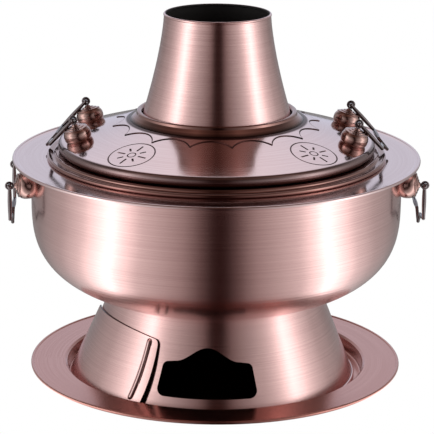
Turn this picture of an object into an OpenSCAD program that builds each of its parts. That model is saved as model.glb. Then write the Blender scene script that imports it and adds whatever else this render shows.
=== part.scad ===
// Chimney hot pot: a round moat bowl on a conical fire pedestal, a tall flue through its middle,
// a lid with a throat round the flue, four drop handles, a water tray and a sliding air door.
// Millimetres, +Z up, origin on the ground under the flue, handles on the X axis, front at -Y.

/* [Tray] */
// Radius of the tray over its rolled edge
tray_r = 147.8; // [140:0.5:156]
// Height of the tray's brim above the ground
tray_h = 12; // [9:0.5:16]
// Radius of the recess that the pedestal stands in, at its floor
recess_r = 117.6; // [117:0.5:122]
// How much wider the recess is at the brim than at its floor
recess_draft = 1.6; // [0.8:0.2:3]
// Thickness of the tray's sheet
tray_sheet = 1.2; // [0.8:0.1:1.6]

/* [Pedestal] */
// Outer radius of the pedestal at its foot
foot_r = 110.6; // [106:0.5:111.5]
// Outer radius of the pedestal where it meets the bowl
waist_r = 83.7; // [80:0.5:86]
// Height of the bowl's underside above the ground
waist_z = 71; // [66:0.5:80]
// Thickness of the pedestal's sheet
pedestal_sheet = 1.2; // [0.8:0.1:1.6]
// Turn of the draught opening from the front, towards the right
opening_turn = -5.5; // [-12:0.5:0]
// Half the width of the draught opening at its sill
opening_half_w = 38.2; // [32:0.2:40]
// Height of the opening's sill above the ground
opening_sill_z = 14.4; // [13:0.2:18]
// Height of the opening's shoulders above its sill
opening_shoulder_h = 26; // [22:0.5:28]
// Rise of the round hump above the shoulders
opening_hump_h = 10.4; // [6:0.2:12]

/* [Air door] */
// Height of the air door's top edge above the ground, at its middle
door_top_z = 58; // [54:0.5:60]
// Angle from the front to the middle of the air door, towards the left
door_turn = 64; // [60:1:70]
// Angle that the air door spans round the pot
door_span = 65; // [60:1:68]
// Thickness of the door's sheet
door_sheet = 1.2; // [0.8:0.1:1.6]
// How much the top edge drops from its middle to its ends
door_sag = 4.5; // [2:0.5:6]
// Radius of the finger rib that is pressed into the door
rib_r = 2.1; // [1.6:0.1:2.6]
// Length of the finger rib
rib_l = 40; // [30:1:42]

/* [Bowl] */
// Greatest outer radius of the bowl
bowl_r = 145.7; // [142:0.1:149]
// Height where the bowl's curve ends and its straight wall begins
bowl_full_z = 150.3; // [146:0.5:152]
// Depth that the bowl's curve would reach at the centre line
bowl_drop = 87.5; // [86:0.5:96]
// Thickness of the bowl's sheet
bowl_sheet = 1.2; // [0.8:0.1:1.6]
// Height of the brim's upper face above the ground
brim_z = 179.5; // [178:0.5:186]
// Radius of the brim over its rolled edge
brim_r = 160; // [158:0.5:166]
// Inner radius of the neck that the lid drops into
neck_r = 127.4; // [126.8:0.1:129]
// Depth of the neck below the brim's upper face
neck_h = 8; // [6:0.5:12]
// Thickness of the brim's sheet
brim_sheet = 1.2; // [0.8:0.1:1.6]

/* [Chimney] */
// Height of the chimney's mouth above the ground
chimney_top_z = 293.2; // [285:0.5:300]
// Outer radius of the chimney just under its rolled mouth
chimney_top_r = 41.5; // [39:0.5:44]
// How much wider the chimney is at the lid's throat than at its mouth
chimney_flare = 15.5; // [13:0.5:16]
// Outer radius of the fire tube where it stands on the bowl's floor
fire_tube_r = 71.4; // [68:0.2:72]
// Thickness of the chimney's sheet
chimney_sheet = 1.2; // [0.8:0.1:1.6]

/* [Grate] */
// Thickness of the cast charcoal grate
grate_t = 4; // [3:0.5:5]
// Width of the slots in the grate
slot_w = 5; // [4:0.5:6]
// Number of slots in the outer ring
outer_slots = 18; // [12:1:20]
// Width of the ledge that the grate lies on
ledge_w = 5; // [4:0.5:7]

/* [Lid] */
// Radius of the lid over its rim ring
lid_r = 133; // [132:0.2:136]
// Radius of the lid over its rolled shoulder
shoulder_r = 124.15; // [122:0.2:125]
// Radius of the roll at the lid's shoulder
shoulder_roll = 4.4; // [3.6:0.1:5]
// Height of the shoulder roll's lowest point above the brim
shoulder_lift = 5.2; // [4.8:0.1:6.5]
// Fall of the lid's cone for each millimetre outwards
lid_slope = 0.297; // [0.26:0.002:0.31]
// Radius of the foot of the lid's throat
throat_foot_r = 69.2; // [67:0.2:72]
// Height of the throat above its foot
throat_h = 8; // [6:0.5:10]
// Gap between the throat's inner edge and the chimney
throat_gap = 0.8; // [0.6:0.1:1.5]
// Depth of the ring under the lid that drops into the neck
skirt_h = 6; // [4:0.5:7]
// Gap between that ring and the neck
skirt_gap = 0.8; // [0.5:0.1:1]
// Thickness of the lid's sheets
lid_sheet = 1; // [0.8:0.1:1.2]
// Number of petals in the star round the throat
petals = 16; // [12:1:20]
// Radius of the petal star at its points
star_r = 82; // [80:0.5:84]
// Turn of the star round the pot
star_turn = -5; // [-11:0.5:11]
// Depth of the round bites between the star's points
star_bite = 9.5; // [7:0.5:10]
// Height of the pressed star above the lid
star_rise = 0.6; // [0.4:0.1:0.8]
// Radius of each of the four medallions
medallion_r = 18.5; // [15:0.5:19]
// Distance from the centre line to the middle of a medallion
medallion_at = 102; // [101:0.5:103]
// Angle from the front or the back to the middle of a medallion
medallion_turn = 42.25; // [40:0.25:44]
// Turn of all four medallions round the pot
medallion_skew = 1.65; // [0:0.05:2]

/* [Handles] */
// Half the distance between the two eyes of a handle
eye_half = 34; // [32:0.5:37]
// Height of the bowl's handle eyes above the ground
bowl_eye_z = 163.8; // [158:0.2:166]
// Distance from the centre line to the foot of a lid post
lid_post_r = 109; // [108:0.5:111]
// Turn of the lid's left pair of posts from straight opposite the right pair
lid_left_turn = -7; // [-9:0.5:0]
// Greatest radius of the turned knob
knob_r = 10.8; // [9:0.1:11]
// Length of a bowl knob without its cap steps
bowl_knob_l = 11.2; // [9:0.2:12]
// Length of a lid knob without its cap steps
lid_knob_l = 9; // [8:0.2:11]
// Radius of the eye bolt's shank
shank_r = 1.5; // [1.2:0.1:1.8]
// Radius of the hole in the eye
eye_hole_r = 1.75; // [1.6:0.05:2]
// Radius of the eye's wire
eye_wire_r = 0.85; // [0.7:0.05:1]
// Radius of the pins at the ends of a bail
pin_r = 1.3; // [1.1:0.05:1.35]
// Greatest radius of a bail's leg
bail_leg_r = 1.7; // [1.5:0.1:2.1]
// Distance from a bail's pins to its tip
bail_l = 38.4; // [34:0.2:40]
// Distance from a bail's pins to its corners
bail_corner_l = 27.4; // [24:0.2:29]
// Swing of the lid's bails outwards from straight down, at rest
lid_bail_lean = 42.5; // [42:0.5:50]

/* [Hidden] */

$fn = 48;
// Faces round the pot in a preview; the surfaces themselves are true circles
round_fn = 144;
// A gap between pieces that only rest against each other
rest_gap = 0.3;
// A small overlap that makes a cut or a union clean
over = 0.5;
// More than the whole pot in every direction
far = 400;

brushed = [0.74, 0.55, 0.52];
polished = [0.82, 0.68, 0.68];
dark_wire = [0.22, 0.19, 0.19];
cast_black = [0.13, 0.12, 0.12];

edge_roll = 1.3;                              // radius of the rolled edges of the tray, brim and foot
mouth_roll = 1.1;                             // radius of the chimney's rolled mouth
tray_floor_z = tray_sheet;
recess_bend = 1.2;                            // radius of the bend at the foot of the recess
foot_z = tray_floor_z;

// Pedestal cone
pedestal_slope = (foot_r - waist_r) / (waist_z - foot_z);
function pedestal_r(z) = foot_r - pedestal_slope * (z - foot_z);
flange_w = 9.7;                               // width of the pedestal's flange under the bowl
flange_r = waist_r - flange_w;
opening_corner = 5;
opening_taper = 3.6;                          // how much narrower the opening is at its shoulders
hump_half = 25;

// Air door cone
door_foot_z = tray_floor_z + rest_gap;
door_foot_r = recess_r - 1 - door_sheet;
door_lean_gap = 0.9;
door_top_r = pedestal_r(door_top_z) + door_lean_gap;
door_slope = (door_foot_r - door_top_r) / (door_top_z - door_foot_z);
function door_r(z) = door_foot_r - door_slope * (z - door_foot_z);
door_corner = 3;
rib_inset = 6.2;                              // angle from the door's right edge to the rib
rib_foot_z = door_foot_z + 10;

// Bowl curve, a super-ellipse: the angle 0 is at the full radius
curve_r_power = 2 / 2.394;
curve_z_power = 2 / 3.232;
function bowl_curve(a) =
    [bowl_r * pow(cos(a), curve_r_power), bowl_full_z - bowl_drop * pow(sin(a), curve_z_power)];
floor_angle = asin(pow((bowl_full_z - waist_z) / bowl_drop, 1 / curve_z_power));
curve_steps = 26;
bowl_top_z = brim_z - brim_sheet;
bowl_flange_w = 5;

// Chimney curve above and fire tube below the lid's throat
tube_foot_z = waist_z + bowl_sheet;
throat_z = brim_z + shoulder_lift + shoulder_roll + shoulder_roll * cos(atan(lid_slope))
         + (shoulder_r - shoulder_roll + shoulder_roll * sin(atan(lid_slope)) - throat_foot_r) * lid_slope;
throat_top_z = throat_z + throat_h;
flare_power = 1.46;
function chimney_r(z) =
    chimney_top_r + chimney_flare * pow((chimney_top_z - z) / (chimney_top_z - throat_top_z), flare_power);
tube_neck_z = throat_top_z - 15;
fire_tube_flange = 7.6;
chimney_steps = 16;

// Grate and its ring
grate_ring_sheet = 1.2;
grate_hole_r = fire_tube_r - chimney_sheet;
ledge_z = waist_z - grate_ring_sheet - grate_t - 1.3;
grate_r = grate_hole_r - grate_ring_sheet - rest_gap;

// Lid cone and its shoulder roll
lid_tilt = atan(lid_slope);
roll_c = [shoulder_r - shoulder_roll, brim_z + shoulder_lift + shoulder_roll];
cone_end = roll_c + shoulder_roll * [sin(lid_tilt), cos(lid_tilt)];
function lid_z(r) = cone_end[1] + (cone_end[0] - r) * lid_slope;
lid_hole_r = throat_foot_r - 3.5;
skirt_r = neck_r - skirt_gap;

// Post sizes; lengths run along the post's own axis, from the sheet outwards
knob_sunk = 4;                                // how far a knob reaches under the sheet before it is trimmed
belly_at = 0.44;                              // where the knob is widest, as a share of its length
belly_round = 0.88;                           // how slowly the knob narrows to its ends
cap_steps = [0.62, 0.5, 0.38, 0.26];         // radius of each step of the cap, as a share of the knob's
cap_step_h = 0.85;
cap_h = len(cap_steps) * cap_step_h;
eye_ring_r = eye_hole_r + eye_wire_r;
eye_seat = 0.65;                              // gap between the eye and the knob's cap
eye_above_knob = cap_h + eye_seat + eye_wire_r + eye_ring_r;
bowl_eye_at = bowl_knob_l + eye_above_knob;
lid_eye_at = lid_knob_l + eye_above_knob;
shank_gap = 0.15;
nut_flats = 7;
nut_h = 3.2;
nut_gap = 0.1;
bail_bar_half = 10;                           // half the width of the bail's pointed middle
bail_bar_drop = 2.4;                          // how much lower than the corners the point starts

// Where the posts stand: angle from the X axis, so that the eyes lie eye_half from it
bowl_post_turn = asin(eye_half / (bowl_r + bowl_eye_at));
lid_post_turn = asin(eye_half / (lid_post_r + lid_eye_at * sin(lid_tilt)));
bowl_eye = [(bowl_r + bowl_eye_at) * cos(bowl_post_turn), bowl_eye_z];
lid_eye = [(lid_post_r + lid_eye_at * sin(lid_tilt)) * cos(lid_post_turn),
           lid_z(lid_post_r) + lid_eye_at * cos(lid_tilt)];

// ---- helpers -------------------------------------------------------------------------------

function reversed(v) = [for (i = [len(v) - 1 : -1 : 0]) v[i]];
function unit(v) = v / norm(v);
function left_of(v) = [-v[1], v[0]];
// The offset at a point of an open line that gives the sheet on its left an even thickness
function miter(p, i) =
    let (before = left_of(unit(i > 0 ? p[i] - p[i - 1] : p[1] - p[0])),
         after = i < len(p) - 1 ? left_of(unit(p[i + 1] - p[i])) : before,
         mean = unit(before + after))
    mean / (mean * before);
function beside(p, t) = [for (i = [0 : len(p) - 1]) p[i] + t * miter(p, i)];
function arc(c, r, from, to, steps = 8) =
    [for (i = [0 : steps]) let (a = from + (to - from) * i / steps) c + r * [cos(a), sin(a)]];

// A sheet that follows a line; a positive thickness lies on the line's left
module sheet(line, t) polygon(concat(line, reversed(beside(line, t))));
// The same, with its far end rolled into a round bead
module rolled_sheet(line, t, roll) {
    end = line[len(line) - 1];
    ahead = unit(end - line[len(line) - 2]);
    turn = atan2(ahead[1], ahead[0]);
    open = (t > 0 ? 1 : -1) * (180 - asin(abs(t) / 2 / roll));
    bead = arc(end + left_of(ahead) * t / 2, roll, turn - open, turn + open, 14);
    polygon(concat([for (i = [0 : len(line) - 2]) line[i]], bead,
                   reversed([for (i = [0 : len(line) - 2]) beside(line, t)[i]])));
}
module spin() rotate_extrude($fn = round_fn) children();
// Turns what is drawn along +Z so that it runs from one point towards another
module along(a, b) {
    d = b - a;
    translate(a) rotate([0, acos(d[2] / norm(d)), atan2(d[1], d[0])]) children();
}
module rod(a, b, r) along(a, b) cylinder(r = r, h = norm(b - a));
module ball(p, r) translate(p) sphere(r = r);
module ring(major, minor) rotate_extrude() translate([major, 0]) circle(r = minor);

// Puts what is drawn along +Z onto a post's foot: the pair on the right, or on the left
module on_bowl_posts() for (s = [-1, 1]) rotate([0, 0, s * bowl_post_turn])
    translate([bowl_r, 0, bowl_eye_z]) rotate([0, 90, 0]) children();
module on_lid_posts() for (s = [-1, 1]) rotate([0, 0, s * lid_post_turn])
    translate([lid_post_r, 0, lid_z(lid_post_r)]) rotate([0, lid_tilt, 0]) children();
module both_sides(left_turn = 0) for (a = [0, 180 + left_turn]) rotate([0, 0, a]) children();
module opposite(turn = 0) rotate([0, 0, 180 + turn]) children();

// ---- tray ----------------------------------------------------------------------------------

module tray() color(polished) spin() {
    wall_top = [recess_r + recess_draft, tray_h];
    bend = recess_bend;
    rolled_sheet(concat([[0, tray_floor_z], [recess_r - bend, tray_floor_z]],
                        arc([recess_r - bend, tray_floor_z + bend], bend, -60, -15, 4),
                        [wall_top - [0.4, 1.2], wall_top + [1.2, 0], [tray_r - edge_roll, tray_h]]),
                 -tray_sheet, edge_roll);
}

// ---- pedestal and air door -----------------------------------------------------------------

// The draught opening, seen from the front: round corners and a round hump on its shoulders
module opening_outline() {
    c = opening_corner;
    shoulder = opening_half_w - opening_taper;
    hump = [for (x = [hump_half : -hump_half / 12 : -hump_half])
            [x, opening_shoulder_h + opening_hump_h * (1 + cos(180 * x / hump_half)) / 2]];
    translate([0, opening_sill_z]) polygon(concat(
        arc([opening_half_w - c, c], c, -90, 8),
        arc([shoulder - c, opening_shoulder_h - c - 0.8], c, 8, 84),
        hump,
        arc([c - shoulder, opening_shoulder_h - c - 0.8], c, 96, 172),
        arc([c - opening_half_w, c], c, 172, 270)));
}

module pedestal() color(brushed) difference() {
    spin() {
        sheet([[foot_r, foot_z], [foot_r, foot_z + pedestal_sheet], [waist_r, waist_z], [flange_r, waist_z]],
              pedestal_sheet);
        translate([foot_r, foot_z + edge_roll + 0.1]) circle(r = edge_roll, $fn = 24);
    }
    rotate([0, 0, opening_turn]) rotate([90, 0, 0])
        translate([0, 0, flange_r * 0.8]) linear_extrude(far) opening_outline();
}

// The door's outline, seen square on from outside
module door_outline() {
    half_foot = door_foot_r * sin(door_span / 2);
    half_top = door_top_r * sin(door_span / 2);
    crown = [for (i = [0 : 10]) let (x = half_top * (1 - i / 5) * 0.96)
             [x, door_top_z - door_sag * pow(x / half_top, 2)]];
    polygon(concat([[-half_foot, 0], [half_foot, 0], [half_top, door_top_z - door_sag - door_corner]], crown,
                   [[-half_top, door_top_z - door_sag - door_corner]]));
}

module air_door() color(brushed) rotate([0, 0, -90 - door_turn]) {
    intersection() {
        spin() polygon([[door_foot_r, door_foot_z], [door_foot_r + door_sheet, door_foot_z],
                        [door_r(door_top_z) + door_sheet, door_top_z], [door_r(door_top_z), door_top_z]]);
        rotate([90, 0, 90]) linear_extrude(far) door_outline();
    }
    rib_turn = door_span / 2 - rib_inset;
    rib_top_z = rib_foot_z + rib_l;
    rib_out = door_sheet - rib_r * 0.45;
    rod_foot = door_r(rib_foot_z) + rib_out;
    rod_top = door_r(rib_top_z) + rib_out;
    rib_foot = [rod_foot * cos(rib_turn), rod_foot * sin(rib_turn), rib_foot_z];
    rib_top = [rod_top * cos(rib_turn), rod_top * sin(rib_turn), rib_top_z];
    difference() {
        union() {
            rod(rib_foot, rib_top, rib_r);
            ball(rib_foot, rib_r);
            ball(rib_top, rib_r);
        }
        spin() polygon([[0, 0], [door_r(0), 0], [door_r(door_top_z), door_top_z], [0, door_top_z]]);
    }
}

// ---- bowl, brim, chimney and grate ---------------------------------------------------------

module bowl() color(brushed) difference() {
    spin() sheet(concat(
        [[grate_hole_r, waist_z]],
        [for (i = [0 : curve_steps]) bowl_curve(floor_angle * (1 - i / curve_steps))],
        [[bowl_r, bowl_top_z - bowl_sheet - 1], [bowl_r + 1, bowl_top_z - bowl_sheet],
         [bowl_r + bowl_flange_w, bowl_top_z - bowl_sheet]]), bowl_sheet);
    both_sides() on_bowl_posts()
        translate([0, 0, -2 * bowl_sheet - over]) cylinder(r = shank_r + shank_gap, h = 4 * bowl_sheet);
}

module brim_ring() color(polished) spin() {
    outer = neck_r + brim_sheet;
    under = brim_z - brim_sheet;
    bend = 1.5;
    edge_step = 0.4;
    rolled_sheet(concat([[outer, brim_z - neck_h]], arc([outer + bend, under - bend], bend, 180, 90, 4),
                        [[brim_r - 4.4, under], [brim_r - 3.4, under + edge_step],
                         [brim_r - edge_roll, under + edge_step]]),
                 brim_sheet, edge_roll);
}

module chimney() color(brushed) spin() {
    flare = [for (i = [0 : chimney_steps]) let (z = tube_neck_z + (chimney_top_z - tube_neck_z - mouth_roll)
             * i / chimney_steps) [chimney_r(z), z]];
    foot = tube_foot_z + chimney_sheet;
    rolled_sheet(concat([[fire_tube_r + fire_tube_flange, foot], [fire_tube_r, foot],
                         [chimney_r(tube_neck_z) + 1.2, tube_neck_z - 14]], flare),
                 chimney_sheet, mouth_roll);
}

module grate_ring() color(cast_black) spin()
    sheet([[flange_r - rest_gap, waist_z - grate_ring_sheet], [grate_hole_r, waist_z - grate_ring_sheet],
           [grate_hole_r, ledge_z], [grate_hole_r - grate_ring_sheet - ledge_w, ledge_z]], -grate_ring_sheet);

// A slot with round ends that lies on the X axis between two distances
module slot(from, to) {
    translate([from, -slot_w / 2, -over]) cube([to - from, slot_w, grate_t + 2 * over]);
    for (x = [from, to]) translate([x, 0, -over]) cylinder(d = slot_w, h = grate_t + 2 * over);
}

module charcoal_grate() color(cast_black) translate([0, 0, ledge_z + grate_ring_sheet]) difference() {
    cylinder(r = grate_r, h = grate_t);
    translate([0, 0, -over]) cylinder(d = slot_w * 1.6, h = grate_t + 2 * over);
    for (i = [1 : outer_slots]) rotate([0, 0, 360 / outer_slots * i]) slot(grate_r * 0.56, grate_r * 0.86);
    inner_slots = floor(outer_slots / 2);
    for (i = [1 : inner_slots]) rotate([0, 0, 360 / inner_slots * i]) slot(grate_r * 0.24, grate_r * 0.42);
}

// ---- lid -----------------------------------------------------------------------------------

// Everything below the lid's cone, out to the shoulder
module under_cone() spin() polygon([[0, waist_z], [0, lid_z(0)], cone_end, [cone_end[0], waist_z]]);

// The star round the throat: a thin ring on the lid with round bites, whose points lie between the bites
module star() {
    half = 180 / petals;
    inner = star_r - star_bite;
    bite = (inner * inner + star_r * star_r - 2 * inner * star_r * cos(half))
         / (2 * (star_r * cos(half) - inner));
    difference() {
        edge_r = star_r + 3;
        spin() translate([0, -lid_sheet / 2])
            sheet([[lid_hole_r, lid_z(lid_hole_r)], [edge_r, lid_z(edge_r)]],
                  (star_rise + lid_sheet / 2) * cos(lid_tilt));
        for (i = [1 : petals]) rotate([0, 0, star_turn + 2 * half * i]) translate([inner + bite, 0, 0])
            cylinder(r = bite, h = far);
    }
}

// The marks of one medallion, cut square to the lid: a ring line and a plain eight-ray rosette
module medallion_cuts() {
    depth = lid_sheet * 0.45;
    translate([0, 0, -depth]) {
        difference() {
            cylinder(r = medallion_r, h = 2);
            translate([0, 0, -over]) cylinder(r = medallion_r - 1.1, h = 2 + 2 * over);
        }
        difference() {
            cylinder(r = medallion_r * 0.2, h = 2);
            translate([0, 0, -over]) cylinder(r = medallion_r * 0.2 - 1, h = 2 + 2 * over);
        }
        for (i = [0 : 7]) rotate([0, 0, 45 * i]) translate([medallion_r * 0.34, -0.8, 0])
            cube([medallion_r * (i % 2 == 0 ? 0.42 : 0.26), 1.6, 2]);
    }
}

module lid_shell() color(polished) difference() {
    union() {
        spin() sheet(concat([[lid_hole_r, lid_z(lid_hole_r)]],
                            arc(roll_c, shoulder_roll, 90 - lid_tilt, -82, 18)), -lid_sheet);
        star();
    }
    for (front = [-90, 90], side = [-1, 1]) rotate([0, 0, front + side * medallion_turn + medallion_skew])
        translate([medallion_at, 0, lid_z(medallion_at)]) rotate([0, lid_tilt, 0]) medallion_cuts();
    both_sides(lid_left_turn) on_lid_posts()
        translate([0, 0, -3 * lid_sheet]) cylinder(r = shank_r + shank_gap, h = 5 * lid_sheet);
}

// The stepped ring under the shoulder: two beads, a foot folded flat on the brim and a skirt in the neck
module lid_rim() color(polished) spin() {
    top = brim_z + shoulder_lift;
    step_r = shoulder_r + (lid_r - shoulder_r) * 0.38;
    bead_r = shoulder_lift * 0.33;
    foot_bend = 1.3;
    sheet(concat([[roll_c[0] - 3, top], [roll_c[0] + 3, top]],
                 arc([step_r - 2, top - 2], 2, 80, 10, 5),
                 [[step_r + 0.6, top - 2.2]],
                 arc([lid_r - bead_r, top - 2 - bead_r], bead_r, 85, 8, 6),
                 arc([lid_r - foot_bend, brim_z + foot_bend], foot_bend, -8, -90, 4),
                 arc([skirt_r + 0.8, brim_z - 0.8], 0.8, 90, 180, 3),
                 [[skirt_r, brim_z - skirt_h]]), -lid_sheet);
}

// The collar stands on the star's raised face and is trimmed to its slope
module lid_throat() color(polished) spin() difference() {
    lip_r = 2.3;
    inner_r = chimney_r(throat_top_z - lip_r) + throat_gap;
    foot = [throat_foot_r, lid_z(throat_foot_r)];
    sheet(concat([foot, [inner_r + 2 * lip_r, throat_top_z - lip_r]],
                 arc([inner_r + lip_r, throat_top_z - lip_r], lip_r, 45, 180, 8)), lid_sheet);
    polygon([[0, 0], [0, lid_z(0) + star_rise], [star_r, lid_z(star_r) + star_rise], [star_r, 0]]);
}

// ---- handles -------------------------------------------------------------------------------

// Knob with a stepped cap, eye bolt and nut, each along +Z from the sheet
module knob(l) rotate_extrude() {
    bore_r = shank_r + shank_gap;
    belly = [for (i = [0 : 10]) let (t = i / 10)
             [knob_r * sqrt(1 - pow((t - belly_at) / belly_round, 2)), l * t]];
    polygon(concat([[bore_r, -knob_sunk], [belly[0][0], -knob_sunk]], belly, [[bore_r, l]]));
    for (i = [0 : len(cap_steps) - 1])
        translate([bore_r, l - 0.01]) square([knob_r * cap_steps[i] - bore_r, cap_step_h * (i + 1)]);
}

module shank(eye_at) translate([0, 0, -2.5 * bowl_sheet - nut_h])
    cylinder(r = shank_r, h = 2.5 * bowl_sheet + nut_h + eye_at - eye_ring_r);

module nut(sheet_t) translate([0, 0, -sheet_t - nut_gap - nut_h]) difference() {
    cylinder(r = nut_flats / sqrt(3), h = nut_h, $fn = 6);
    translate([0, 0, -over]) cylinder(r = shank_r + shank_gap, h = nut_h + 2 * over);
}

module eye_rings(eye) for (s = [-1, 1])
    translate([eye[0], s * eye_half, eye[1]]) rotate([90, 0, 0]) ring(eye_ring_r, eye_wire_r);

module bowl_knobs() color(polished) difference() {
    on_bowl_posts() knob(bowl_knob_l);
    cylinder(r = bowl_r, h = far, $fn = 2 * round_fn);
}
module lid_knobs() color(polished) difference() {
    on_lid_posts() knob(lid_knob_l);
    under_cone();
}
module bowl_eye_bolts() color(dark_wire) {
    on_bowl_posts() shank(bowl_eye_at);
    eye_rings(bowl_eye);
}
module lid_eye_bolts() color(dark_wire) {
    on_lid_posts() shank(lid_eye_at);
    eye_rings(lid_eye);
}
module bowl_nuts() color(dark_wire) on_bowl_posts() nut(bowl_sheet);
module lid_nuts() color(dark_wire) on_lid_posts() nut(lid_sheet);

// A drop handle that hangs in -Z from pins on the Y axis: two swelling legs, round corners and a bottom
// bar with a pointed middle
module bail() color(dark_wire) {
    head_y = eye_half + eye_wire_r + 1.5;
    leg_top = [0, eye_half - eye_wire_r - 1.7, 0];
    corner = [0, leg_top[1], -bail_corner_l];
    bar_end = [0, bail_bar_half, -bail_corner_l - bail_bar_drop];
    tip = [0, 0, -bail_l];
    swell_l = norm(corner - leg_top);
    bar_l = norm(bar_end - corner);
    joint_r = pin_r + 0.08;
    both_sides() {
        rod(leg_top, [0, head_y, 0], pin_r);
        ball([0, head_y, 0], pin_r + 0.55);
        ball(leg_top, joint_r);
        along(leg_top, corner) swelling(swell_l);
        ball(corner, joint_r);
        along(corner, bar_end) swelling(bar_l);
        ball(bar_end, joint_r);
        rod(bar_end, tip, pin_r);
    }
    ball(tip, joint_r);
}
// A round bar along +Z that is thickest in its middle
module swelling(l) rotate_extrude() polygon(concat([[0, 0]],
    [for (i = [0 : 12]) [pin_r + (bail_leg_r - pin_r) * pow(sin(180 * i / 12), 1.5), l * i / 12]], [[0, l]]));
module bowl_bail() translate([bowl_eye[0], 0, bowl_eye[1]]) bail();
module lid_bail() translate([lid_eye[0], 0, lid_eye[1]]) rotate([0, -lid_bail_lean, 0]) bail();

// ---- assembly ------------------------------------------------------------------------------

tray();
pedestal();
air_door();
bowl();
brim_ring();
chimney();
grate_ring();
charcoal_grate();
lid_shell();
lid_rim();
lid_throat();
bowl_knobs();  // bowl_knobs_right
bowl_eye_bolts();  // bowl_eye_bolts_right
bowl_nuts();  // bowl_nuts_right
opposite() bowl_knobs();  // bowl_knobs_left
opposite() bowl_eye_bolts();  // bowl_eye_bolts_left
opposite() bowl_nuts();  // bowl_nuts_left
lid_knobs();  // lid_knobs_right
lid_eye_bolts();  // lid_eye_bolts_right
lid_nuts();  // lid_nuts_right
opposite(lid_left_turn) lid_knobs();  // lid_knobs_left
opposite(lid_left_turn) lid_eye_bolts();  // lid_eye_bolts_left
opposite(lid_left_turn) lid_nuts();  // lid_nuts_left
bowl_bail();  // bowl_bail_right
opposite() bowl_bail();  // bowl_bail_left
lid_bail();  // lid_bail_right
opposite(lid_left_turn) lid_bail();  // lid_bail_left
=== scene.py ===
"""Chimney hot pot: a moat bowl on a fire pedestal, with a flue, a lift-off lid, drop handles and a tray."""
from math import atan, cos, exp, pi, radians, sin, sqrt

import bpy
import numpy as np
from mathutils import Matrix


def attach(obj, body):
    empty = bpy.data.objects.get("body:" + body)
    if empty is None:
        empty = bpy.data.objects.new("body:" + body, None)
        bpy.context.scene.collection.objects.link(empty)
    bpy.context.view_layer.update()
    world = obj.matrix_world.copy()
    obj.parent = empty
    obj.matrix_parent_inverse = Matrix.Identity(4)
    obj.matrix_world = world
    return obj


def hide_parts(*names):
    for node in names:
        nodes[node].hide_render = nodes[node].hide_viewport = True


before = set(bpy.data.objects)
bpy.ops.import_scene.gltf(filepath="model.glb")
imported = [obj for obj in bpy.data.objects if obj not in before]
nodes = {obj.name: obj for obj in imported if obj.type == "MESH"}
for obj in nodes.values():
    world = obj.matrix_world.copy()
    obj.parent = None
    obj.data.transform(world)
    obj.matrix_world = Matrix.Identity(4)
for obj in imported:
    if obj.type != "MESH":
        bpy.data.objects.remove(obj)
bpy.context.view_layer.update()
scene = bpy.context.scene


# ---- Camera ------------------------------------------------------------------------------------
# A long lens looks slightly down on the pot from the front, and stands a little to its left, because
# in the photograph the pot is turned a touch towards the right.

photo_side = 434                     # pixels
lens_in_pixels = 2168.9
view_down = 0.2605                   # radians
view_turn = radians(-2)
view_roll = 0.0076
view_distance = 1.7143
aim_height = 0.149
aim_pixel = (216.25, 192.71)         # where the aimed point falls in the photograph

lens = bpy.data.cameras.new("camera")
lens.sensor_width = 36
lens.lens = lens_in_pixels * lens.sensor_width / photo_side
lens.shift_x = (photo_side / 2 - aim_pixel[0]) / photo_side
lens.shift_y = (aim_pixel[1] - photo_side / 2) / photo_side
lens.clip_end = 30
camera = bpy.data.objects.new("camera", lens)
scene.collection.objects.link(camera)
place = Matrix.Rotation(view_turn, 4, "Z") @ Matrix.Translation(
    (0, -view_distance * cos(view_down), aim_height + view_distance * sin(view_down)))
camera.matrix_world = place @ Matrix.Rotation(pi / 2 - view_down, 4, "X") @ Matrix.Rotation(view_roll, 4, "Z")
scene.camera = camera
scene.view_settings.view_transform = "Standard"


# ---- Studio ------------------------------------------------------------------------------------
# A white table in front of white paper. Tall soft boxes stand at both sides, the paper behind the pot
# glows, and the room behind the camera is unlit, which gives round metal the dark band down its middle.

def add(tree, kind, values=None, stops=(), between="EASE", **settings):
    """Adds a node to a tree, with its settings, and its inputs by name or number: a value, socket or node.

    A node stands for its first output. The stops of a colour ramp are (place, linear colour) pairs.
    """
    made = tree.nodes.new(kind)
    for name, value in settings.items():
        setattr(made, name, value)
    for name, value in (values or {}).items():
        if isinstance(value, bpy.types.Node):
            value = value.outputs[0]
        if isinstance(value, bpy.types.NodeSocket):
            tree.links.new(value, made.inputs[name])
        else:
            made.inputs[name].default_value = value
    if stops:
        made.color_ramp.interpolation = between
        points = made.color_ramp.elements
        while len(points) < len(stops):
            points.new(0.5)
        for point, (at, colour) in zip(points, stops):
            point.position = at
            point.color = (*colour[:3], 1)
    return made


def new_tree(owner):
    """The empty node tree of a material or world."""
    owner.use_nodes = True
    owner.node_tree.nodes.clear()
    return owner.node_tree


def from_the_camera(tree, here):
    """The angle of a place or direction round the flue from the camera's side, as a share of half a turn."""
    parts = add(tree, "ShaderNodeSeparateXYZ", {0: here}).outputs
    ahead = add(tree, "ShaderNodeMath", {0: parts["Y"], 1: -1.0}, operation="MULTIPLY")
    angle = add(tree, "ShaderNodeMath", {0: parts["X"], 1: ahead}, operation="ARCTAN2")
    either_side = add(tree, "ShaderNodeMath", {0: angle}, operation="ABSOLUTE")
    return add(tree, "ShaderNodeMath", {0: either_side, 1: 1 / pi}, operation="MULTIPLY")


brown_reach = 12                     # degrees from the middle at which the walls' brown has faded to 1/e
brown_green, brown_blue = 0.58, 0.62          # how much green and blue the brown takes away in the middle


def light_stops(shares):
    """Ramp stops from the brightness at each angle in degrees; brown walls tint it by exp(-angle / reach)."""
    stops = []
    for angle, share in shares:
        brown = exp(-angle / brown_reach)
        colour = (share, share * (1 - brown_green * brown), share * (1 - brown_blue * brown))
        stops.append((angle / 180, colour))
    return stops


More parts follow.
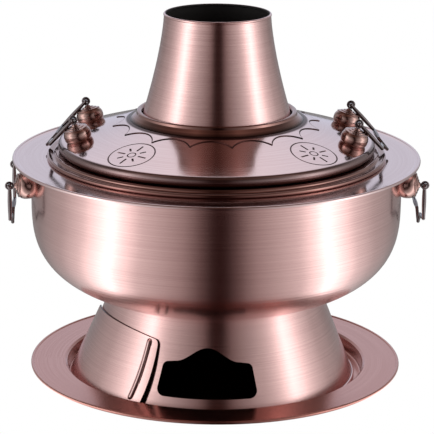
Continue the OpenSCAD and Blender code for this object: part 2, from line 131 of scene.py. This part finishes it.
# How bright the studio is at each angle from the camera, in degrees, as a share of a soft box's middle
box_strength = 2.3
round_the_room = light_stops([
    (0, 0.014), (6, 0.018), (10, 0.06), (15, 0.12), (22, 0.17), (37, 0.28), (48, 0.4), (55, 0.52), (62, 0.75),
    (70, 1.15), (78, 0.95), (86, 0.66), (95, 0.46), (111, 0.27), (130, 0.21), (150, 0.18), (180, 0.17)])
round_the_table = light_stops([
    (0, 0.012), (4, 0.02), (10, 0.07), (20, 0.2), (31, 0.3), (43, 0.42), (54, 0.8), (61, 1.2), (68, 0.95),
    (83, 0.47), (100, 0.27), (130, 0.14), (180, 0.1)])

# The room: the boxes' light fades with height, 0 level and 1 straight up, under a dark brown ceiling. Behind
# the pot, the glowing paper takes over between two angles, as shares of half a turn.
paper_from, paper_full = 0.76, 0.92
room = bpy.data.worlds.new("studio room")
scene.world = room
tree = new_tree(room)
looking = add(tree, "ShaderNodeTexCoord").outputs["Generated"]
angle = from_the_camera(tree, looking)
height = add(tree, "ShaderNodeSeparateXYZ", {0: looking}).outputs["Z"]
side_light = add(tree, "ShaderNodeValToRGB", {0: angle}, round_the_room, "LINEAR")
side_height = add(tree, "ShaderNodeValToRGB", {0: height}, [
    (0.0, (1, 1, 1)), (0.26, (0.97, 0.97, 0.97)), (0.42, (0.9, 0.9, 0.9)), (0.5, (0.62, 0.61, 0.6)),
    (0.62, (0.36, 0.34, 0.33)), (0.8, (0.17, 0.135, 0.125)), (1.0, (0.09, 0.06, 0.05))], "LINEAR")
ceiling = add(tree, "ShaderNodeValToRGB", {0: height}, [
    (0.6, (0, 0, 0)), (0.85, (0.045, 0.025, 0.019)), (0.95, (0.045, 0.025, 0.019)),
    (1.0, (0.025, 0.014, 0.011))])
behind = add(tree, "ShaderNodeValToRGB", {0: height}, [
    (0.0, (0.3, 0.32, 0.38)), (0.26, (0.32, 0.347, 0.4)), (0.5, (0.39, 0.418, 0.47)),
    (0.7, (0.445, 0.46, 0.495)), (0.8, (0.5, 0.5, 0.52)), (0.87, (0.2, 0.19, 0.2)),
    (0.93, (0.045, 0.036, 0.034)), (1.0, (0.02, 0.013, 0.01))], "LINEAR")
sides = add(tree, "ShaderNodeMix", {0: 1.0, 6: side_light, 7: side_height}, data_type="RGBA",
            blend_type="MULTIPLY").outputs[2]
front = add(tree, "ShaderNodeMix", {0: 1.0, 6: sides, 7: ceiling}, data_type="RGBA",
            blend_type="ADD").outputs[2]
back_share = add(tree, "ShaderNodeMapRange", {0: angle, 1: paper_from, 2: paper_full},
                 interpolation_type="SMOOTHSTEP")
lit = add(tree, "ShaderNodeMix", {0: back_share, 6: front, 7: behind}, data_type="RGBA").outputs[2]
rays = add(tree, "ShaderNodeLightPath").outputs
seen_room = add(tree, "ShaderNodeBackground", {0: lit, 1: box_strength})
white_room = add(tree, "ShaderNodeBackground", {0: (1, 1, 1, 1), 1: 1.0})
shown = add(tree, "ShaderNodeMixShader", {0: rays["Is Camera Ray"], 1: seen_room, 2: white_room})
add(tree, "ShaderNodeOutputWorld", {0: shown})

# White paper on the table. The camera sees it plain white; all other rays see it glow with painted light, the
# pattern that the side boxes would throw on it.
paper = bpy.data.materials.new("white paper")
tree = new_tree(paper)
here = add(tree, "ShaderNodeTexCoord").outputs["Object"]
painted_table_light = add(tree, "ShaderNodeValToRGB", {0: from_the_camera(tree, here)}, round_the_table, "LINEAR")
lit = add(tree, "ShaderNodeEmission", {0: painted_table_light, 1: box_strength})
white = add(tree, "ShaderNodeEmission", {0: (1, 1, 1, 1), 1: 1.0})
rays = add(tree, "ShaderNodeLightPath").outputs
shown = add(tree, "ShaderNodeMixShader", {0: rays["Is Camera Ray"], 1: lit, 2: white})
add(tree, "ShaderNodeOutputMaterial", {0: shown})

reach = 6                            # half the table's side, in metres
table = bpy.data.meshes.new("table")
corners = [(-reach, -reach, 0), (reach, -reach, 0), (reach, reach, 0), (-reach, reach, 0)]
table.from_pydata(corners, [], [(0, 1, 2, 3)])
table.materials.append(paper)
table_top = bpy.data.objects.new("table", table)
scene.collection.objects.link(table_top)


# ---- Tray --------------------------------------------------------------------------------------
# The water and ash tray is pressed from stainless sheet, brushed on the lathe and plated in rose copper. It
# is buffed less than the lid, so that what stands on it shows in it as a soft red shade.

def linear(hex_colour):
    """The linear colour of an sRGB hex value such as "d8b0a6": each channel's sRGB curve is undone."""
    channels = np.array([int(hex_colour[i:i + 2], 16) for i in (0, 2, 4)]) / 255
    undone = np.where(channels <= 0.04045, channels / 12.92, ((channels + 0.055) / 1.055) ** 2.4)
    return (*undone, 1.0)


def round_the_flue(tree):
    """The direction that runs round the flue's axis at each point: up crossed with the point's place."""
    here = add(tree, "ShaderNodeTexCoord").outputs["Object"]
    across = add(tree, "ShaderNodeVectorMath", {0: (0, 0, 1), 1: here}, operation="CROSS_PRODUCT")
    turned = add(tree, "ShaderNodeVectorTransform", {0: across}, vector_type="VECTOR", convert_from="OBJECT",
                 convert_to="WORLD")
    return add(tree, "ShaderNodeVectorMath", {0: turned}, operation="NORMALIZE")


def from_the_flue(tree):
    """Each point's distance from the flue's axis, its angle round it in radians and its height; metres."""
    here = add(tree, "ShaderNodeTexCoord").outputs["Object"]
    parts = add(tree, "ShaderNodeSeparateXYZ", {0: here}).outputs
    out = add(tree, "ShaderNodeVectorMath", {0: here, 1: (1, 1, 0)}, operation="MULTIPLY")
    radius = add(tree, "ShaderNodeVectorMath", {0: out}, operation="LENGTH").outputs["Value"]
    turn = add(tree, "ShaderNodeMath", {0: parts["Y"], 1: parts["X"]}, operation="ARCTAN2")
    return radius, turn, parts["Z"]


noise_low, noise_high = 0.3, 0.7     # most of a noise's values lie between these
line_length_mm = 120                 # how far along a hairline its shade changes
middle_r_mm = 100                    # radius at which that length is true
line_height = 0.0001                 # metres


def spun_lines(tree, width_mm):
    """Noise drawn out round the flue: it changes every width_mm across the lines."""
    radius, turn, up = from_the_flue(tree)
    drawn = add(tree, "ShaderNodeCombineXYZ", {
        0: add(tree, "ShaderNodeMath", {0: radius, 1: 1000 / width_mm}, operation="MULTIPLY"),
        1: add(tree, "ShaderNodeMath", {0: turn, 1: middle_r_mm / line_length_mm}, operation="MULTIPLY"),
        2: add(tree, "ShaderNodeMath", {0: up, 1: 1000 / width_mm}, operation="MULTIPLY")})
    return add(tree, "ShaderNodeTexNoise", {"Vector": drawn, "Scale": 1.0, "Detail": 2.0})


def plated(name, shades, line_mm, gloss, line_depth, stretch):
    """Rose copper plating on spun sheet, with fine lines that run round the flue.

    shades are the two ends of its colour, and gloss those of its roughness. The stretch smears what it
    reflects across the lines, as brushing does. It returns the material, its tree and the metal's shader.
    """
    made = bpy.data.materials.new(name)
    tree = new_tree(made)
    line = spun_lines(tree, line_mm)
    tint = add(tree, "ShaderNodeValToRGB", {0: line}, [
        (noise_low, linear(shades[0])), (noise_high, linear(shades[1]))])
    rough = add(tree, "ShaderNodeMapRange", {0: line, 1: noise_low, 2: noise_high, 3: gloss[0], 4: gloss[1]})
    ridges = add(tree, "ShaderNodeBump", {"Strength": line_depth, "Distance": line_height, "Height": line})
    metal = add(tree, "ShaderNodeBsdfPrincipled", {
        "Base Color": tint, "Metallic": 1.0, "Roughness": rough, "Normal": ridges, "Anisotropic": stretch,
        "Anisotropic Rotation": 0.25, "Tangent": round_the_flue(tree)})
    return made, tree, metal


def finish_in(material, *names):
    """Gives CAD nodes one material in place of their own."""
    for name in names:
        slots = nodes[name].data.materials
        slots.clear()
        slots.append(material)


satin, tree, metal = plated("satin rose copper plating", ("b37d74", "be8b82"), 0.8, (0.18, 0.24), 0.03, 0.5)
add(tree, "ShaderNodeOutputMaterial", {0: metal})
finish_in(satin, "tray")


# ---- Bowl --------------------------------------------------------------------------------------
# The bowl is spun from the same sheet, brushed on the lathe and plated. The hairlines run round it and
# stretch every reflection into an upright band. Real hairlines are 0.05 mm, and these are drawn 0.5 mm wide.

brushing = ("d0aba8", "dbb7b3"), 0.5, (0.19, 0.25), 0.05, 0.9
brushed, tree, metal = plated("brushed rose copper plating", *brushing)
add(tree, "ShaderNodeOutputMaterial", {0: metal})
finish_in(brushed, "bowl")


# ---- Pedestal and chimney ----------------------------------------------------------------------
# The conical fire pedestal stands under the bowl, and the flue is welded to the bowl's floor. Both are spun
# and brushed as the bowl is. Their inner faces, which look at the axis, are painted near black as shade.

inner_shade_from, inner_shade_full = -0.1, -0.35   # how far a face looks at the axis, -1 straight at it, for none and full


def inner_shade_share(tree):
    """How much painted shade covers the metal: 1 on faces that look at the flue's axis, inside pedestal and
    flue.
    """
    here = add(tree, "ShaderNodeTexCoord").outputs
    out = add(tree, "ShaderNodeVectorMath", {0: here["Object"], 1: (1, 1, 0)}, operation="MULTIPLY")
    outwards = add(tree, "ShaderNodeVectorMath", {0: out}, operation="NORMALIZE")
    facing = add(tree, "ShaderNodeVectorMath", {0: here["Normal"], 1: outwards}, operation="DOT_PRODUCT")
    return add(tree, "ShaderNodeMapRange", {0: facing.outputs["Value"], 1: inner_shade_from, 2: inner_shade_full})


# Painted shade: the metal turns near black on the inner faces, where the opening and the flue are in shade.
inner_shaded_plating, tree, metal = plated("brushed rose copper plating with soot inside", *brushing)
inner_painted_shade = add(tree, "ShaderNodeBsdfPrincipled", {"Base Color": linear("0d0706"), "Roughness": 0.7})
inner_shaded = add(tree, "ShaderNodeMixShader", {0: inner_shade_share(tree), 1: metal, 2: inner_painted_shade})
add(tree, "ShaderNodeOutputMaterial", {0: inner_shaded})
finish_in(inner_shaded_plating, "pedestal", "chimney")


# ---- Charcoal grate ----------------------------------------------------------------------------
# The grate lies on a ring under the bowl's floor. Both have the look of raw cast iron: matt and black, with
# the grain of the sand mould, about 1 mm.

iron = bpy.data.materials.new("raw cast iron")
tree = new_tree(iron)
here = add(tree, "ShaderNodeTexCoord").outputs["Object"]
grain = add(tree, "ShaderNodeTexNoise", {"Vector": here, "Scale": 900.0, "Detail": 4.0})
tint = add(tree, "ShaderNodeValToRGB", {0: grain}, [
    (noise_low, linear("2c2827")), (noise_high, linear("4a4442"))])
pits = add(tree, "ShaderNodeBump", {"Strength": 0.5, "Distance": 0.0004, "Height": grain})
metal = add(tree, "ShaderNodeBsdfPrincipled", {
    "Base Color": tint, "Metallic": 0.6, "Roughness": 0.62, "Normal": pits})
add(tree, "ShaderNodeOutputMaterial", {0: metal})
finish_in(iron, "charcoal_grate", "grate_ring")


# ---- Brim ring ---------------------------------------------------------------------------------
# The wide brim on the bowl is the same sheet and plating, buffed to a mirror. Faint rings from the buffing
# wheel soften its reflections.

buffed_shades = ("d3b8b7", "d9c0bf")
buffing = 1.2, (0.09, 0.13), 0.01, 0.6
polished, tree, metal = plated("polished rose copper plating", buffed_shades, *buffing)
add(tree, "ShaderNodeOutputMaterial", {0: metal})
finish_in(polished, "brim_ring")


# ---- Lid's rim and collar ----------------------------------------------------------------------
# Stepped rings are folded from sheet under the lid's shoulder and round the flue. Their coat is painted
# darker as shade between their folds, and the collar's foot is painted dark as shade where it meets the lid.

# Painted shade: darker colours for the rings, standing in for the shade between their folds.
shade_darkened_tones = ("8f6b65", "9c7871")
shade_darkened, tree, metal = plated("antiqued rose copper plating", shade_darkened_tones, *buffing)
add(tree, "ShaderNodeOutputMaterial", {0: metal})
finish_in(shade_darkened, "lid_rim")

collar_foot_z = 0.2087
fold_full, fold_gone = 0.001, 0.0035          # heights over the foot between which the fold's dark fades out
painted_shade_gloss = {"Metallic": 1.0, "Roughness": 0.35}
collar_plating, tree, metal = plated(
    "antiqued rose copper plating with a dark foot", shade_darkened_tones, *buffing)
# Painted shade: near black at the collar's foot, where it meets the lid.
fold = add(tree, "ShaderNodeBsdfPrincipled", {"Base Color": linear("1c0f0e"), **painted_shade_gloss})
folded = add(tree, "ShaderNodeMapRange", {
    0: from_the_flue(tree)[2], 1: collar_foot_z + fold_gone, 2: collar_foot_z + fold_full})
shaded = add(tree, "ShaderNodeMixShader", {0: folded, 1: metal, 2: fold})
add(tree, "ShaderNodeOutputMaterial", {0: shaded})
finish_in(collar_plating, "lid_throat")


# ---- Lid ---------------------------------------------------------------------------------------
# The lid is a cone spun from thin sheet, with a pressed star and four pressed medallions, and buffed. Its
# grooves are dark, and painted shade lies along the medallions' rings and the star's edge, beside the collar
# and on the shoulder. The places are worked out from the lid's own sizes, in metres.

cone_middle = 0.22925                # height at which the cone's slope meets the flue's axis
cone_slope = 0.297
groove_floor = 0.0004                # how far under the cone the grooves' floors lie
shoulder_starts = 0.121              # radius out to which the lid is a plain cone
medallion_at, medallion_r = 0.102, 0.01795    # distance from the flue, and radius of the ring's middle
medallion_turn, medallion_skew = radians(42.25), radians(1.65)
ring_half, star_half = 0.00055, 0.0004        # half widths of the ring's and the star's dark lines
star_points, star_turn, star_r = 16, radians(-5), 0.082
star_inner, star_bite = 0.0725, 0.0201        # radius of the bites' deepest points, and of the bites
collar_dark = 0.0718, 0.0704         # radii at which the dark line at the collar starts and is full
shoulder_dark = 0.1209, 0.1222       # the same for the shoulder, inside out
shoulder_share = 0.72                # how dark the shoulder gets


def off_circle(tree, radius, turn, middle, circle_r, stretch=1.0):
    """How far a point at a radius and turn lies from a circle whose middle is on the line of turn 0.

    It is | sqrt((r sin t) ** 2 + (stretch (r cos t - middle)) ** 2) - circle_r |.
    """
    sine = add(tree, "ShaderNodeMath", {0: turn}, operation="SINE")
    cosine = add(tree, "ShaderNodeMath", {0: turn}, operation="COSINE")
    aside = add(tree, "ShaderNodeMath", {0: radius, 1: sine}, operation="MULTIPLY")
    along = add(tree, "ShaderNodeMath", {0: radius, 1: cosine}, operation="MULTIPLY")
    along = add(tree, "ShaderNodeMath", {0: along, 1: middle}, operation="SUBTRACT")
    along = add(tree, "ShaderNodeMath", {0: along, 1: stretch}, operation="MULTIPLY")
    aside = add(tree, "ShaderNodeMath", {0: aside, 1: aside}, operation="MULTIPLY")
    along = add(tree, "ShaderNodeMath", {0: along, 1: along}, operation="MULTIPLY")
    total = add(tree, "ShaderNodeMath", {0: aside, 1: along}, operation="ADD")
    away = add(tree, "ShaderNodeMath", {0: total}, operation="SQRT")
    off = add(tree, "ShaderNodeMath", {0: away, 1: circle_r}, operation="SUBTRACT")
    return add(tree, "ShaderNodeMath", {0: off}, operation="ABSOLUTE")


lid_plating, tree, metal = plated(
    "polished rose copper plating with patina in its marks", buffed_shades, *buffing)
radius, turn, up = from_the_flue(tree)

# In a groove: lower than the cone by half a groove's depth, on the plain cone.
cone_z = add(tree, "ShaderNodeMath", {0: radius, 1: -cone_slope, 2: cone_middle}, operation="MULTIPLY_ADD")
under = add(tree, "ShaderNodeMath", {0: cone_z, 1: up}, operation="SUBTRACT")
is_under = add(tree, "ShaderNodeMath", {0: under, 1: groove_floor / 2}, operation="GREATER_THAN")
on_cone = add(tree, "ShaderNodeMath", {0: radius, 1: shoulder_starts}, operation="LESS_THAN")
in_groove = add(tree, "ShaderNodeMath", {0: is_under, 1: on_cone}, operation="MULTIPLY")

# On the star's edge: beside the circle of the nearest bite, inside the star's radius.
petal = 2 * pi / star_points
from_star = add(tree, "ShaderNodeMath", {0: turn, 1: star_turn}, operation="SUBTRACT")
in_petal = add(tree, "ShaderNodeMath", {0: from_star, 1: petal / 2, 2: -petal / 2}, operation="WRAP")
off_star = off_circle(tree, radius, in_petal, star_inner + star_bite, star_bite)
by_bite = add(tree, "ShaderNodeMath", {0: off_star, 1: star_half}, operation="LESS_THAN")
in_star = add(tree, "ShaderNodeMath", {0: radius, 1: star_r}, operation="LESS_THAN")
at_star = add(tree, "ShaderNodeMath", {0: by_bite, 1: in_star}, operation="MULTIPLY")

# On a medallion's ring: the angle is folded twice, so that all four rings lie on one. The cone's slope
# stretches the ring along the lid.
unskewed = add(tree, "ShaderNodeMath", {0: turn, 1: medallion_skew}, operation="SUBTRACT")
wrapped = add(tree, "ShaderNodeMath", {0: unskewed, 1: pi, 2: -pi}, operation="WRAP")
from_side = add(tree, "ShaderNodeMath", {0: wrapped}, operation="ABSOLUTE")
past_front = add(tree, "ShaderNodeMath", {0: from_side, 1: pi / 2}, operation="SUBTRACT")
from_front = add(tree, "ShaderNodeMath", {0: past_front}, operation="ABSOLUTE")
in_medallion = add(tree, "ShaderNodeMath", {0: from_front, 1: medallion_turn}, operation="SUBTRACT")
off_ring = off_circle(tree, radius, in_medallion, medallion_at, medallion_r, sqrt(1 + cone_slope ** 2))
on_ring = add(tree, "ShaderNodeMath", {0: off_ring, 1: ring_half}, operation="LESS_THAN")

# Beside the collar, and on the shoulder. The darkest mark at a point counts.
at_collar = add(tree, "ShaderNodeMapRange", {0: radius, 1: collar_dark[0], 2: collar_dark[1]})
on_shoulder = add(tree, "ShaderNodeMapRange", {
    0: radius, 1: shoulder_dark[0], 2: shoulder_dark[1], 4: shoulder_share})
# Painted shade on the rings, along the star's edge, beside the collar and on the shoulder; the grooves are
# dark as well. All take one dark coat.
marks = in_groove
for mark in (on_ring, at_star, at_collar, on_shoulder):
    marks = add(tree, "ShaderNodeMath", {0: marks, 1: mark}, operation="MAXIMUM")
painted_shade_look = {"Base Color": linear("4a2e2c"), **painted_shade_gloss}
dark = add(tree, "ShaderNodeBsdfPrincipled", painted_shade_look)
marked = add(tree, "ShaderNodeMixShader", {0: marks, 1: metal, 2: dark})
add(tree, "ShaderNodeOutputMaterial", {0: marked})
finish_in(lid_plating, "lid_shell")


# ---- Eye bolts and drop handles ----------------------------------------------------------------
# Each handle is bent from wire, and its pins turn in two eye bolts, held by nuts inside the sheet. All are
# plated in black nickel: a dark mirror with white lights in it, which fine ripples break up.

wire = bpy.data.materials.new("black nickel plating")
tree = new_tree(wire)
here = add(tree, "ShaderNodeTexCoord").outputs["Object"]
ripple = add(tree, "ShaderNodeTexNoise", {"Vector": here, "Scale": 400.0, "Detail": 2.0})
gloss = add(tree, "ShaderNodeMapRange", {0: ripple, 1: noise_low, 2: noise_high, 3: 0.08, 4: 0.16})
waves = add(tree, "ShaderNodeBump", {"Strength": 0.05, "Distance": 0.0002, "Height": ripple})
metal = add(tree, "ShaderNodeBsdfPrincipled", {
    "Base Color": linear("6f6667"), "Metallic": 1.0, "Roughness": gloss, "Normal": waves})
add(tree, "ShaderNodeOutputMaterial", {0: metal})
for side in ("right", "left"):
    for post in ("bowl", "lid"):
        finish_in(wire, f"{post}_eye_bolts_{side}", f"{post}_nuts_{side}", f"{post}_bail_{side}")


# ---- Turned knobs ------------------------------------------------------------------------------
# Each eye bolt passes through a knob of turned brass under the same plating: a small dark mirror with hard
# lights. It is a full drum with a low cap in three rounded steps and a nipple under the eye. Each pair is
# one piece, set square to its sheet, in place of the CAD pair, whose caps are steeper.

def piece(name, points, faces, material, body, replaced):
    """A closed mesh that rides a body in place of a CAD node, with its edges over 50 degrees sharp."""
    mesh = bpy.data.meshes.new(name)
    mesh.from_pydata(points.tolist(), [], faces)
    mesh.materials.append(material)
    mesh.shade_smooth()
    mesh.set_sharp_from_angle(angle=radians(50))
    made = bpy.data.objects.new(name, mesh)
    scene.collection.objects.link(made)
    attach(made, body)
    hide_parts(replaced)
    return made


def moved(place, points):
    """The points under a 4 x 4 placement: its turn times the point, plus its shift."""
    place = np.array(place)
    return points @ place[:3, :3].T + place[:3, 3]


knob_plating = bpy.data.materials.new("polished rose copper plating on turned knobs")
tree = new_tree(knob_plating)
metal = add(tree, "ShaderNodeBsdfPrincipled", {
    "Base Color": linear("a98a83"), "Metallic": 1.0, "Roughness": 0.17})
add(tree, "ShaderNodeOutputMaterial", {0: metal})

knob_r = 0.0108
knob_sides = 64
knob_sunk = 0.0007                   # how far a knob's foot reaches into the sheet
drum_waist, drum_power = 1 / 6, 2.6  # how much of the radius the drum's ends lose, and how late
cap_radii, cap_step = (0.86, 0.64, 0.42), 0.00095
cap_edge = cap_step * 0.6
nipple_r, nipple_h = 0.0026, 0.0009
nipple_taper = 0.8
bowl_knob_h, lid_knob_h = 0.0112, 0.009


def knob_profile(length):
    """Rows of radius and height up a knob, whose drum has a length and whose ends lie on its axis.

    The drum is r = R (1 - waist |2 t - 1| ** power) at a share t of its length. Each step of the cap ends
    in a quarter circle of its edge's radius.
    """
    t = np.linspace(0, 1, 25)
    drum = np.stack([knob_r * (1 - drum_waist * abs(2 * t - 1) ** drum_power),
                     -knob_sunk + (length + knob_sunk) * t], -1)
    a = np.linspace(0, pi / 2, 5)
    step_r = knob_r * np.array(cap_radii)[:, None]
    step_z = length + cap_step * np.arange(1, len(cap_radii) + 1)[:, None]
    steps = np.stack([step_r - cap_edge + cap_edge * np.cos(a), step_z - cap_edge + cap_edge * np.sin(a)], -1)
    top = length + cap_step * len(cap_radii)
    nipple = [(nipple_r, top), (nipple_r * nipple_taper, top + nipple_h), (0, top + nipple_h)]
    return np.concatenate([[(0, -knob_sunk)], drum, steps.reshape(-1, 2), nipple])


def turned(profile):
    """Points and faces of a profile turned round z: (r cos a, r sin a, z) for each row and angle a."""
    angles = np.arange(knob_sides) * 2 * pi / knob_sides
    r, z = profile[1:-1, :1], profile[1:-1, 1:]
    rings = np.stack([r * np.cos(angles), r * np.sin(angles), z + 0 * angles], -1).reshape(-1, 3)
    points = np.concatenate([[(0, 0, profile[0, 1])], rings, [(0, 0, profile[-1, 1])]])
    at = 1 + np.arange(len(rings)).reshape(-1, knob_sides)
    beside = np.roll(at, -1, axis=1)
    foot = np.stack([0 * at[0], beside[0], at[0]], -1)
    wall = np.stack([at[:-1], beside[:-1], beside[1:], at[1:]], -1).reshape(-1, 4)
    top = np.stack([at[-1], beside[-1], 0 * at[-1] + len(points) - 1], -1)
    return points, foot.tolist() + wall.tolist() + top.tolist()


lid_post_r, lid_tilt = 0.109, atan(cone_slope)
lid_post_z = cone_middle - cone_slope * lid_post_r
lid_post = Matrix.Translation((lid_post_r, 0, lid_post_z)) @ Matrix.Rotation(lid_tilt, 4, "Y")
bowl_r, bowl_post_z = 0.1457, 0.1638
bowl_post = Matrix.Translation((bowl_r, 0, bowl_post_z)) @ Matrix.Rotation(pi / 2, 4, "Y")
bowl_post_turn, lid_post_turn = radians(11.94), radians(17.40)      # of each post from its pair's middle
lid_left_turn = -7                   # degrees that the lid's left pair stands short of opposite
for post, foot, spread, length, left_turn, body in (
        ("bowl", bowl_post, bowl_post_turn, bowl_knob_h, 0, "pot"),
        ("lid", lid_post, lid_post_turn, lid_knob_h, lid_left_turn, "lid")):
    knob, knob_faces = turned(knob_profile(length))
    second_faces = [[k + len(knob) for k in face] for face in knob_faces]
    for side, side_turn in (("right", 0), ("left", radians(180 + left_turn))):
        pair = [moved(Matrix.Rotation(side_turn + s * spread, 4, "Z") @ foot, knob) for s in (-1, 1)]
        piece(f"turned_{post}_knobs_{side}", np.concatenate(pair), knob_faces + second_faces, knob_plating,
              body, f"{post}_knobs_{side}")


# ---- Air door ----------------------------------------------------------------------------------
# The loose damper is a bent plate of brushed sheet that stands in the tray beside the pedestal. Its right
# edge bulges, a long finger rib is pressed along it, and its edge and the rib's folds are painted dark as
# shade. It follows the CAD door's cone and stands in its place.

# A dark coat for painted shade on the door's edge and in the rib's folds.
painted_shade = bpy.data.materials.new("dark patina")
tree = new_tree(painted_shade)
metal = add(tree, "ShaderNodeBsdfPrincipled", painted_shade_look)
add(tree, "ShaderNodeOutputMaterial", {0: metal})

door_turn = radians(-90 - 64)
door_foot_z, door_top_z, door_sag = 0.0015, 0.058, 0.0045
door_foot_r, door_top_r, door_sheet = 0.1154, 0.0896, 0.0012
door_left = radians(-32.5)
door_right_foot, door_right_top, door_bulge = radians(30.3), radians(34.2), radians(1.3)
door_corner, door_half_width = 0.003, 0.05
rib_foot_z, rib_top_z = 0.0115, 0.0515
rib_inset, rib_half, rib_h = radians(4.9), 0.0019, 0.0014
fold_in, fold_out = 0.86, 1.2        # where the dark folds start and end, as shares of the rib's half width
columns, rows = 190, 120


def door_right(v):
    """The angle of the right edge at a share v of the way up: a straight line with a parabola's bulge."""
    return door_right_foot + (door_right_top - door_right_foot) * v + door_bulge * 4 * v * (1 - v)


def door_surface(out):
    """Points of one side of the plate, set out from the cone by out, and how far each is off the rib's line.

    The top edge is a parabola over the width with rounded corners, and the rib is a parabola across its line.
    """
    u, v = np.meshgrid(np.linspace(0, 1, columns), np.linspace(0, 1, rows), indexing="ij")
    turn = door_left + (door_right(v) - door_left) * u
    middle = 2 * u - 1
    corner = np.clip((np.abs(middle) * door_half_width - door_half_width + door_corner) / door_corner, 0, 1)
    top = door_top_z - door_sag * middle ** 2 - door_corner * (1 - np.sqrt(1 - corner ** 2))
    z = door_foot_z + (top - door_foot_z) * v
    up = (z - door_foot_z) / (door_top_z - door_foot_z)
    radius = door_foot_r + (door_top_r - door_foot_r) * up + out
    aside = (turn - (door_right(up) - rib_inset)) * radius
    beyond = np.maximum(0, np.maximum(rib_foot_z - z, z - rib_top_z))
    off_rib = np.sqrt(aside ** 2 + beyond ** 2)
    radius = radius + rib_h * np.clip(1 - (off_rib / rib_half) ** 2, 0, None)
    points = np.stack([radius * np.cos(turn), radius * np.sin(turn), z], -1)
    return points.reshape(-1, 3), off_rib


front, off_rib = door_surface(door_sheet)
back, _ = door_surface(0)
at = np.arange(columns * rows).reshape(columns, rows)
front_faces = np.stack([at[:-1, :-1], at[1:, :-1], at[1:, 1:], at[:-1, 1:]], -1).reshape(-1, 4)
back_faces = front_faces[:, [0, 3, 2, 1]] + len(front)
edge = np.concatenate([at[:, 0], at[-1, 1:], at[-2::-1, -1], at[0, -2:0:-1]])
after = np.roll(edge, -1)
edge_faces = np.stack([after, edge, edge + len(front), after + len(front)], -1)
faces = np.concatenate([front_faces, back_faces, edge_faces]).tolist()
# Painted shade: the faces in the rib's folds and all the edge faces take the dark coat.
in_fold = (rib_half * fold_in < off_rib) & (off_rib < rib_half * fold_out)
dark_faces = np.concatenate([in_fold[:-1, :-1].ravel(), np.zeros(len(back_faces)), np.ones(len(edge_faces))])
points = moved(Matrix.Rotation(door_turn, 4, "Z"), np.concatenate([front, back]))
door = piece("bent_air_door", points, faces, brushed, "air_door", "air_door")
door.data.materials.append(painted_shade)
door.data.polygons.foreach_set("material_index", dark_faces.astype(np.int32))
